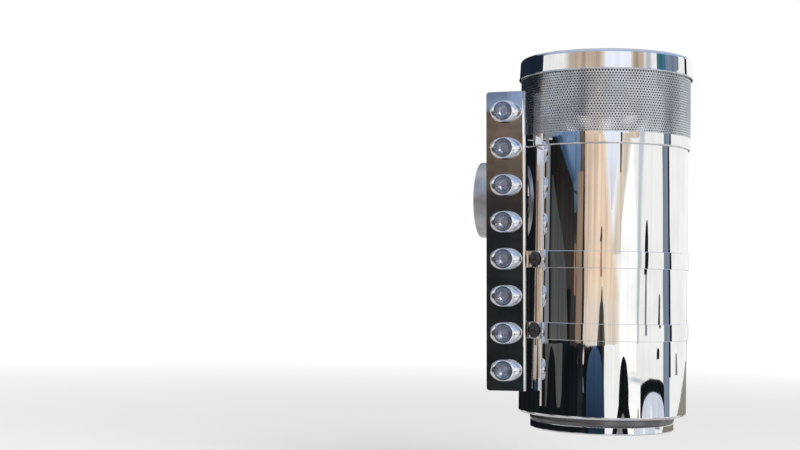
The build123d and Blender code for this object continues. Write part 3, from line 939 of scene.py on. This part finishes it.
# Colours that the cards give back: red, green, blue and the depth of the streaks
CARD_COLOURS = {
    "white": (1.08, 1.08, 1.05, 0.06),
    "bright": (1.25, 1.25, 1.22, 0.03),
    "pale": (1.15, 1.22, 1.38, 0.15),
    "cream": (0.90, 0.78, 0.66, 0.16),
    "sky": (1.00, 1.06, 1.18, 0.08),
    "lavender": (0.76, 0.82, 0.92, 0.15),
    "haze": (0.62, 0.68, 0.74, 0.12),
    "tan": (0.90, 0.70, 0.53, 0.34),
    "amber": (0.98, 0.77, 0.56, 0.24),
    "sand": (0.76, 0.66, 0.54, 0.28),
    "wood": (0.58, 0.46, 0.36, 0.32),
    "stone": (0.42, 0.39, 0.34, 0.30),
    "brown": (0.31, 0.225, 0.16, 0.40),
    "rust": (0.42, 0.20, 0.13, 0.20),
    "moss": (0.054, 0.058, 0.055, 0.35),
    "olive": (0.050, 0.052, 0.034, 0.30),
    "grey": (0.24, 0.25, 0.27, 0.20),
    "steel": (0.22, 0.27, 0.35, 0.30),
    "teal": (0.060, 0.19, 0.27, 0.35),
    "blue": (0.17, 0.27, 0.43, 0.30),
    "indigo": (0.045, 0.090, 0.175, 0.15),
    "navy": (0.013, 0.023, 0.040, 0.40),
    "umber": (0.0165, 0.0150, 0.0140, 0.40),
    "black": (0.008, 0.010, 0.012, 0.50),
}
# Colours that change with height: a low and a high level, and the share at the low level
CARD_FADES = {
    "sky": (0.65, 1.28, 0.70),
    "blue": (0.65, 1.28, 0.45),
    "moss": (-0.44, 0.95, 1.9),
    "umber": (0.20, 0.95, 2.8),
    "indigo": (-1.05, -0.50, 0.35),
    "stone": (-1.10, -0.50, 0.6),
}
# Colours whose square-headed shaped cards fade out at both sides, and over what share of the width
SOFT_SIDES = {"tan": 0.16, "amber": 0.16, "cream": 0.14, "wood": 0.20, "sand": 0.30, "brown": 0.35,
              "sky": 0.14, "haze": 0.30, "blue": 0.20}
# That share for all other colours, whose sides are only ragged
RAGGED_SIDE = 0.05
# Colours that fade out towards the head as well, and over what share of the height
SOFT_HEADS = {"amber": 0.45, "cream": 0.40}

# Distance from the canister to the first card, and how far each next one stands in front
CARD_DISTANCE = 9.0
RING_STEP = 0.01
SHAPE_GAP = 0.25
SHAPE_STEP = 0.02
# Flat strips across a bent shaped card
CARD_STRIPS = 10
# The ground card reaches from its foot up to the foot of the ring cards
GROUND_FOOT = -6.0
RING_FOOT = -1.35

# Curved cards round the part, each in front of the one before
# colour, first and last bearing in degrees outboard of straight ahead, lowest, highest in metres
RING_CARDS = (
    ("white", -16, 175, RING_FOOT, 3.6),
    ("black", -175, -14, RING_FOOT, 1.28),
    ("pale", -79, 60, 1.28, 1.66),
    ("lavender", 60, 175, 1.36, 1.95),
    ("steel", -79, 60, 1.66, 1.95),
    ("black", -175, -79, 1.28, 1.60),
    ("navy", -175, -82, 1.60, 7.0),
    ("white", -82, 10, 1.95, 3.6),
    ("grey", -79, -64, 1.28, 1.36),
    ("blue", -64, -20, 1.28, 1.37),
    ("tan", -20, 6, 1.28, 1.37),
    ("sky", 6, 40, 1.28, 1.40),
    ("sand", 40, 60, 1.28, 1.36),
    ("grey", 104, 126, 1.36, 1.95),
    ("black", 136, 142, 2.10, 3.3),
)

# Shaped cards in front of those, each in front of the one before
# colour, bearings at the foot, bearings at the head, lowest, highest, height of a rounded head
SHAPE_CARDS = (
    ("umber", (-62, -24), (-66, -19), 0.0, 1.28, 0.0),
    ("moss", (-67, -42), (-68, -65), 0.23, 0.95, 0.0),
    ("moss", (-67, -38), (-67, -42), -0.44, 0.23, 0.0),
    ("indigo", (-34, -23), (-60, -17), 0.88, 1.28, 0.0),
    ("blue", (-31, -23), (-52, -17), 0.88, 1.28, 0.0),
    ("blue", (-31, -28), (-34, -23), 0.63, 0.88, 0.0),
    ("umber", (-27, -23), (-69, -64), 0.77, 1.00, 0.0),
    ("brown", (-35, -11), (-19, -15), -0.09, 1.14, 0.0),
    ("wood", (-21, -6), (-20, -6), -0.45, 1.28, 0.0),
    ("tan", (-17, 31), (-16, 10), -0.10, 1.28, 0.0),
    ("amber", (-19, 31), (-13, 27), -0.45, 0.40, 0.0),
    ("cream", (-21, 31), (-18, 30), -0.45, 0.05, 0.0),
    ("sand", (19, 33), (29, 46), 0.29, 1.28, 0.0),
    ("sky", (19, 20), (10, 30), 0.65, 1.28, 0.0),
    ("moss", (29, 31), (29, 32), 0.95, 1.28, 0.0),
    ("bright", (31, 55), (32, 54), -0.67, 0.54, 0.0),
    ("bright", (32, 54), (45, 48), 0.54, 1.20, 0.0),
    ("haze", (55, 58), (54, 64), -0.43, 1.28, 0.0),
    ("grey", (66.5, 69.5), (67, 70), -0.37, 0.20, 0.0),
    ("black", (65, 70), (65.5, 71), 0.12, 0.57, 0.22),
    ("black", (88, 92), (89, 92), -0.31, -0.03, 0.05),
    ("black", (87, 91), (87, 91), -0.56, -0.47, 0.03),
    ("steel", (101, 114), (91, 103), -1.12, 1.60, 0.0),
    ("black", (111, 115), (102, 105), -0.70, 1.60, 0.0),
    ("umber", (-36, -24), (-34, -27), -0.45, 0.16, 0.09),
    ("olive", (-31, -27), (-31, -29), 0.16, 0.45, 0.05),
    ("rust", (-30, -28), (-30, -29), -0.05, 0.36, 0.0),
    ("moss", (2, 13), (4, 11), -0.45, -0.08, 0.17),
    ("olive", (5, 10), (6, 9), -0.45, 0.02, 0.17),
    ("rust", (5, 8), (5, 7), 0.10, 0.42, 0.09),
    ("umber", (4, 7), (5, 7), 0.38, 0.50, 0.04),
    ("grey", (-77, -70), (-77, -71), -0.44, 1.20, 0.0),
    ("moss", (-74, -47), (-75, -46), -0.94, -0.44, 0.0),
    ("black", (-73, -52), (-70, -56), -1.10, -0.46, 0.27),
    ("black", (-52, -9), (-44, -21), -1.10, -0.44, 0.22),
    ("steel", (-20, -15), (-24, -18), -0.81, -0.45, 0.12),
    ("cream", (-17, -16), (-20, -15), -0.58, -0.45, 0.0),
    ("white", (12, 33), (11, 32), -1.14, -0.44, 0.0),
    ("black", (-16, 13), (-16, 12), RING_FOOT, -0.44, 0.0),
    ("indigo", (-12, 12), (-12, 10), -1.14, -0.44, 0.29),
    ("umber", (12, 14), (8, 11), -1.14, -0.44, 0.0),
    ("bright", (29, 67), (31, 65), -1.14, -0.73, 0.0),
    ("black", (25, 52), (31, 45), -1.14, -0.51, 0.38),
    ("grey", (30, 46), (34, 42), -1.14, -0.95, 0.14),
    ("haze", (45, 67), (45, 67), -0.71, -0.68, 0.0),
    ("black", (61, 103), (62, 101), -1.14, -0.68, 0.06),
    ("lavender", (60, 104), (65, 101), -1.16, -0.78, 0.14),
    ("white", (78, 83), (77, 80), -1.14, -0.89, 0.05),
    ("rust", (57, 60), (57, 59), -1.06, -0.90, 0.04),
    ("stone", (116, 174), (165, 175), -1.14, -0.54, 0.0),
    ("grey", (126, 132), (126, 130), -0.65, -0.48, 0.03),
    ("wood", (-50, 10), (-42, 12), 2.10, 3.2, 0.0),
    ("sky", (6, 43), (8, 42), 2.10, 3.6, 0.0),
    ("wood", (43, 62), (38, 61), 2.10, 3.1, 0.0),
    ("haze", (61, 71), (61, 71), 2.10, 3.2, 0.0),
    ("teal", (78, 95), (78, 94), 2.10, 3.3, 0.0),
    ("steel", (94, 119), (94, 119), 2.10, 3.3, 0.0),
)

# Flat upright cards near the part: name, colour, centre, width and height, turn
# The flag has no colour here, because its colours go by height
NEAR_CARDS = (
    ("panel_flag", None, (-0.262, -1.50, 0.09), (0.195, 1.38), 0.0),
    ("flag_shade", "brown", (0.090, -0.50, 0.0915), (0.062, 0.417), 0.0),
    ("lamp_strip", "sand", (-0.015, -0.172, 0.12), (0.015, 0.76), pi / 2),
)

# Heights and colours of the flag that the lamp panel reflects
FLAG_COLOURS = (
    (-0.60, (0.016, 0.020, 0.022)),
    (0.198, (0.020, 0.024, 0.026)),
    (0.317, (0.070, 0.058, 0.054)),
    (0.434, (0.17, 0.13, 0.10)),
    (0.583, (0.16, 0.12, 0.095)),
    (0.592, (0.24, 0.32, 0.48)),
    (0.780, (0.26, 0.35, 0.52)),
)

# Soft lights: name, bearing and height in degrees, distance, size, power in watts
LIGHTS = (
    ("key", 48.0, 42.0, 3.6, 2.4, 95.0),
    ("fill", -55.0, 30.0, 4.0, 2.8, 40.0),
)
LIGHT_AIM = Vector((CANISTER_X, 0, 0.12))

# Colours of the world in reflections, from straight down to straight up
SKY_COLOURS = (
    (0.00, (0.62, 0.63, 0.65)),
    (0.20, (0.50, 0.51, 0.53)),
    (0.48, (0.10, 0.11, 0.12)),
    (0.50, (0.60, 0.62, 0.66)),
    (0.56, (0.80, 0.90, 1.06)),
    (0.70, (0.38, 0.54, 0.86)),
    (0.86, (0.50, 0.58, 0.74)),
    (1.00, (0.66, 0.69, 0.75)),
)
# What the camera sees behind the part, and the light that falls on plain surfaces
WHITE = (1.0, 1.0, 1.0, 1.0)
PLAIN_LIGHT = (0.62, 0.62, 0.62, 1.0)

FLOOR_RADIUS = 14.0
# The floor turns plain white to the camera between these distances from the origin
FLOOR_FADE = (1.2, 5.0)
# Width of the camera's sensor in millimetres
SENSOR_WIDTH = 36.0


# Stage helpers


def bare_material(name):
    """A material with nothing in its node tree."""
    material = bpy.data.materials.new(name)
    material.use_nodes = True
    material.node_tree.nodes.clear()
    return material, material.node_tree


def glow(tree, colour, strength):
    """A plain glowing face."""
    inputs = {"Color": colour, "Strength": strength}
    return add_node(tree, "ShaderNodeEmission", inputs).outputs["Emission"]


def mix_shaders(tree, factor, first, second):
    """Blend of two shaders."""
    return add_node(tree, "ShaderNodeMixShader", {0: factor, 1: first, 2: second}).outputs["Shader"]


class AIRCLEANER_OT_stage(bpy.types.Operator):
    """Sets the floor, the reflection cards, the lights, the world and the camera"""

    bl_idname = "aircleaner.stage"
    bl_label = "Stage"

    def execute(self, context):
        self.floor(context)
        for number, card in enumerate(RING_CARDS):
            self.ring_card(number, *card)
        for number, card in enumerate(SHAPE_CARDS):
            self.shape_card(number, *card)
        self.ground_card()
        self.near_cards()
        self.lights()
        self.world(context)
        self.camera(context)
        context.scene.view_settings.view_transform = "Standard"
        return {"FINISHED"}

    def floor(self, context):
        """A wide pale disc, plain white to the camera far from the part and clear from below."""
        stage = context.scene.stage_settings
        colour = tuple(context.scene.finish_colours.floor)
        level = COVER_BOTTOM - stage.floor_drop
        deselect_all()
        bpy.ops.mesh.primitive_circle_add(
            vertices=96, radius=FLOOR_RADIUS, fill_type="NGON", location=(CANISTER_X, 0, level))
        floor = bpy.context.object
        floor.name = "floor"
        floor.visible_glossy = False
        material, tree = bare_material("floor")
        place = stretched_position(tree, (1.0, 1.0, 0.0))
        away = add_node(tree, "ShaderNodeVectorMath", {0: place}, operation="LENGTH")
        far = remap(tree, away.outputs["Value"], *FLOOR_FADE)
        paint = add_node(tree, "ShaderNodeBsdfDiffuse", {"Color": (*colour, 1.0)}).outputs["BSDF"]
        clear = add_node(tree, "ShaderNodeBsdfTransparent").outputs["BSDF"]
        seen = add_node(tree, "ShaderNodeLightPath").outputs["Is Camera Ray"]
        under = add_node(tree, "ShaderNodeNewGeometry").outputs["Backfacing"]
        white_part = math_node(tree, "MULTIPLY", far, seen)
        top = mix_shaders(tree, white_part, paint, glow(tree, WHITE, 1.0))
        clear_part = math_node(tree, "MULTIPLY", under, seen)
        both = mix_shaders(tree, clear_part, top, clear)
        add_node(tree, "ShaderNodeOutputMaterial", {"Surface": both})
        floor.data.materials.append(material)

    def card_material(self, colour, faded):
        """A glowing card face with upright streaks, which fades out at its sides or doesn't."""
        name = f"card_{colour}_{'faded' if faded else 'plain'}"
        if name in bpy.data.materials:
            return bpy.data.materials[name]
        *hue, depth = CARD_COLOURS[colour]
        material, tree = bare_material(name)
        streaks = stretched_position(tree, (2.4, 2.4, 0.5))
        grain = noise(tree, streaks, scale=1.0, detail=4.0, roughness=0.6)
        strength = remap(tree, grain, 0.30, 0.70, new_low=1.0 - depth, new_high=1.0 + depth)
        if colour in CARD_FADES:
            low, high, share = CARD_FADES[colour]
            fade = remap(tree, object_height(tree), low, high, new_low=share)
            strength = math_node(tree, "MULTIPLY", strength, fade)
        face = glow(tree, (*hue, 1.0), strength)
        if faded:
            face = self.faded_face(tree, colour, grain, face)
        add_node(tree, "ShaderNodeOutputMaterial", {"Surface": face})
        return material

    def faded_face(self, tree, colour, grain, face):
        """Lets a face fade out at its sides and, for some colours, towards its head."""
        ragged, bare = 0.10, 0.03
        across_card = add_node(tree, "ShaderNodeTexCoord").outputs["UV"]
        spread = add_node(tree, "ShaderNodeSeparateXYZ", {0: across_card})
        from_side = math_node(tree, "PINGPONG", spread.outputs["X"], 0.5)
        worn = math_node(tree, "ADD", from_side, math_node(tree, "MULTIPLY", grain, ragged))
        solid = remap(tree, worn, bare, bare + SOFT_SIDES.get(colour, RAGGED_SIDE))
        if colour in SOFT_HEADS:
            head = remap(tree, spread.outputs["Y"], 1.0, 1.0 - SOFT_HEADS[colour])
            solid = math_node(tree, "MULTIPLY", solid, head)
        clear = add_node(tree, "ShaderNodeBsdfTransparent").outputs["BSDF"]
        return mix_shaders(tree, solid, clear, face)

    def flag_material(self):
        """The flag's face, coloured by height."""
        material, tree = bare_material("flag_face")
        low, high = FLAG_COLOURS[0][0], FLAG_COLOURS[-1][0]
        level = remap(tree, object_height(tree), low, high)
        ramp = add_node(tree, "ShaderNodeValToRGB", {"Fac": level})
        set_ramp(ramp, [((at - low) / (high - low), colour) for at, colour in FLAG_COLOURS])
        patches = noise(tree, stretched_position(tree, (7.0, 1.0, 16.0)), scale=1.0, detail=3.0)
        strength = remap(tree, patches, 0.35, 0.65, new_low=0.72, new_high=1.28)
        face = glow(tree, ramp.outputs["Color"], strength)
        add_node(tree, "ShaderNodeOutputMaterial", {"Surface": face})
        return material

    def ground_material(self):
        """Pale ground round the part, with broad soft darker bays and a dark horizon."""
        pale, horizon_end = (0.92, 0.91, 0.89, 1.0), -2.2
        material, tree = bare_material("ground_face")
        bays = noise(tree, stretched_position(tree, (0.30, 0.30, 0.05)), scale=1.0, detail=1.0)
        grain = noise(tree, stretched_position(tree, (2.4, 2.4, 0.3)), scale=1.0, detail=3.0)
        depth = remap(tree, object_height(tree), RING_FOOT, horizon_end, new_low=0.30)
        shade = remap(tree, bays, 0.38, 0.60, new_low=0.18, new_high=1.05)
        shade = math_node(tree, "MULTIPLY", shade, depth)
        speckle = remap(tree, grain, 0.3, 0.7, new_low=0.90, new_high=1.10)
        face = glow(tree, pale, math_node(tree, "MULTIPLY", shade, speckle))
        add_node(tree, "ShaderNodeOutputMaterial", {"Surface": face})
        return material

    def show_in_reflections_only(self, card, material):
        """Gives a card its face and hides it from the camera and from plain surfaces."""
        material.cycles.emission_sampling = "NONE"
        card.data.materials.append(material)
        card.visible_camera = False
        card.visible_diffuse = False
        card.visible_shadow = False
        card.visible_volume_scatter = False

    def raise_card(self, card, height, material):
        """Extrudes a card's edges upwards and moves it to the canister's axis."""
        bpy.ops.mesh.select_all(action="SELECT")
        extrude_loop((0, 0, height))
        bpy.ops.mesh.select_all(action="SELECT")
        bpy.ops.transform.translate(value=(CANISTER_X, 0, 0))
        bpy.ops.object.mode_set(mode="OBJECT")
        self.show_in_reflections_only(card, material)

    def ground_card(self):
        """A wide band below the other cards, all the way round."""
        deselect_all()
        bpy.ops.mesh.primitive_circle_add(
            vertices=96, radius=CARD_DISTANCE, location=(0, 0, GROUND_FOOT))
        card = begin_piece("ground_card")
        self.raise_card(card, RING_FOOT - GROUND_FOOT, self.ground_material())

    def ring_card(self, number, colour, first, last, lowest, highest):
        """A curved card: part of a circle of edges, extruded upwards."""
        slack = 0.01
        middle = radians((first + last) / 2)
        reach = radians((last - first) / 2 + slack)
        facing = Vector((sin(middle), -cos(middle)))
        deselect_all()
        bpy.ops.mesh.primitive_circle_add(
            vertices=360, radius=CARD_DISTANCE - RING_STEP * number, location=(0, 0, lowest))
        card = begin_piece(f"ring_card_{number}")
        pick(card, "verts", lambda v: v.co.xy.angle(facing) > reach)
        bpy.ops.mesh.delete(type="VERT")
        self.raise_card(card, highest - lowest, self.card_material(colour, faded=False))

    def shape_card(self, number, colour, foot, head, lowest, highest, rounding):
        """A curved card with its own widths at the foot and the head, which may be rounded."""
        distance = CARD_DISTANCE - SHAPE_GAP - SHAPE_STEP * number
        first, last = min(foot[0], head[0]), max(foot[1], head[1])
        middle = (first + last) / 2
        span = radians(last - first)
        shoulder = highest - rounding
        slack = 0.001
        deselect_all()
        if rounding:
            bpy.ops.mesh.primitive_circle_add(
                vertices=32, radius=0.5, fill_type="NGON", rotation=(pi / 2, 0, 0))
        else:
            bpy.ops.mesh.primitive_plane_add(size=1, rotation=(pi / 2, 0, 0))
        card = begin_piece(f"shape_card_{number}")
        for above, bearings, height, shift in (
            (False, foot, 0.0, lowest - shoulder),
            (True, head, 2 * rounding, 0.0),
        ):
            left, right = (distance * radians(b - middle) for b in bearings)
            pick(card, "verts", lambda v: (v.co.z > -slack) == above)
            bpy.ops.transform.resize(value=(right - left, 1, height), center_override=(0, 0, 0))
            bpy.ops.transform.translate(value=((left + right) / 2, 0, shift))
        for cut in range(1, CARD_STRIPS):
            bpy.ops.mesh.select_all(action="SELECT")
            across = distance * span * (cut / CARD_STRIPS - 0.5)
            bpy.ops.mesh.bisect(plane_co=(across, 0, 0), plane_no=(1, 0, 0))
        bpy.ops.object.mode_set(mode="OBJECT")
        apply_modifier(card, "SIMPLE_DEFORM", deform_method="BEND", deform_axis="Z", angle=span)
        bpy.ops.object.mode_set(mode="EDIT")
        bpy.ops.mesh.select_all(action="SELECT")
        bpy.ops.transform.translate(value=(0, -distance, shoulder))
        bpy.ops.object.mode_set(mode="OBJECT")
        card.location = (CANISTER_X, 0, 0)
        card.rotation_euler = (0, 0, radians(middle))
        self.show_in_reflections_only(card, self.card_material(colour, faded=not rounding))

    def near_cards(self):
        """A flag ahead of the panel, its shade and a narrow pale strip beside the lamps."""
        for name, colour, centre, size, turn in NEAR_CARDS:
            if colour:
                material = self.card_material(colour, faded=False)
            else:
                material = self.flag_material()
            deselect_all()
            bpy.ops.mesh.primitive_plane_add(size=1, rotation=(pi / 2, 0, turn))
            card = bpy.context.object
            card.name = name
            card.scale = (*size, 1.0)
            card.location = centre
            bpy.ops.object.transform_apply(location=True, rotation=True, scale=True)
            self.show_in_reflections_only(card, material)

    def lights(self):
        """A large soft key from the front outboard side and a weaker fill."""
        for name, bearing, height, distance, size, power in LIGHTS:
            turn = radians(bearing)
            rise = radians(height)
            away = Vector((sin(turn) * cos(rise), -cos(turn) * cos(rise), sin(rise)))
            bpy.ops.object.light_add(type="AREA", location=LIGHT_AIM + away * distance)
            light = bpy.context.object
            light.name = name
            light.data.size = size
            light.data.energy = power
            light.rotation_euler = (-away).to_track_quat("-Z", "Y").to_euler()
            light.visible_glossy = False

    def world(self, context):
        """White to the camera, a sky and ground in reflections, and plain light to all else."""
        world = bpy.data.worlds.new("studio")
        context.scene.world = world
        world.use_nodes = True
        tree = world.node_tree
        tree.nodes.clear()
        direction = add_node(tree, "ShaderNodeTexCoord").outputs["Generated"]
        upward = add_node(tree, "ShaderNodeSeparateXYZ", {0: direction}).outputs["Z"]
        ramp = add_node(tree, "ShaderNodeValToRGB", {"Fac": remap(tree, upward, -1.0, 1.0)})
        set_ramp(ramp, SKY_COLOURS)
        plain, sky, white = (
            add_node(tree, "ShaderNodeBackground", {"Color": colour}).outputs["Background"]
            for colour in (PLAIN_LIGHT, ramp.outputs["Color"], WHITE)
        )
        path = add_node(tree, "ShaderNodeLightPath").outputs
        seen = math_node(tree, "MAXIMUM", path["Is Camera Ray"], path["Is Transmission Ray"])
        lit = mix_shaders(tree, path["Is Glossy Ray"], plain, sky)
        shown = mix_shaders(tree, seen, lit, white)
        add_node(tree, "ShaderNodeOutputWorld", {"Surface": shown})

    def camera(self, context):
        """The camera in front of the part, a little outboard of it."""
        stage = context.scene.stage_settings
        bearing = stage.camera_bearing
        distance = stage.camera_distance
        spot = (CANISTER_X + distance * sin(bearing), -distance * cos(bearing), stage.camera_height)
        bpy.ops.object.camera_add(location=spot)
        camera = bpy.context.object
        camera.name = "photo_camera"
        camera.data.lens = stage.focal_length
        camera.data.sensor_width = SENSOR_WIDTH
        heading = Matrix.Rotation(bearing + stage.camera_yaw, 4, "Z")
        tilt = Matrix.Rotation(pi / 2 + stage.camera_pitch, 4, "X")
        roll = Matrix.Rotation(stage.camera_roll, 4, "Z")
        camera.matrix_world = Matrix.Translation(spot) @ heading @ tilt @ roll
        context.scene.camera = camera


class AIRCLEANER_PT_build(bpy.types.Panel):
    """Lists the steps that dress the part"""

    bl_label = "Air Cleaner"
    bl_idname = "AIRCLEANER_PT_build"
    bl_space_type = "VIEW_3D"
    bl_region_type = "UI"
    bl_category = "Air Cleaner"

    def draw(self, context):
        for operator in OPERATORS:
            self.layout.operator(operator.bl_idname)
        for settings in SETTINGS:
            box = self.layout.box()
            group = getattr(context.scene, settings)
            for key in group.bl_rna.properties.keys():
                if key not in ("name", "rna_type"):
                    box.prop(group, key)


SETTINGS = {
    "sheet_sizes": SheetSizes,
    "lamp_sizes": LampSizes,
    "finish_colours": FinishColours,
    "stage_settings": StageSettings,
}
OPERATORS = (
    AIRCLEANER_OT_shell,
    AIRCLEANER_OT_screen,
    AIRCLEANER_OT_lamps,
    AIRCLEANER_OT_hardware,
    AIRCLEANER_OT_bracket,
    AIRCLEANER_OT_element,
    AIRCLEANER_OT_stage,
)


def register():
    """Registers the classes and gives the scene its settings."""
    for cls in (*SETTINGS.values(), *OPERATORS, AIRCLEANER_PT_build):
        bpy.utils.register_class(cls)
    for name, cls in SETTINGS.items():
        setattr(bpy.types.Scene, name, PointerProperty(type=cls))


def unregister():
    """Takes the settings and the classes away again."""
    for name in SETTINGS:
        delattr(bpy.types.Scene, name)
    for cls in (AIRCLEANER_PT_build, *reversed(OPERATORS), *reversed(SETTINGS.values())):
        bpy.utils.unregister_class(cls)


def main():
    register()
    for start in (
        bpy.ops.aircleaner.shell,
        bpy.ops.aircleaner.screen,
        bpy.ops.aircleaner.lamps,
        bpy.ops.aircleaner.hardware,
        bpy.ops.aircleaner.bracket,
        bpy.ops.aircleaner.element,
        bpy.ops.aircleaner.stage,
    ):
        start()


if __name__ == "__main__":
    main()
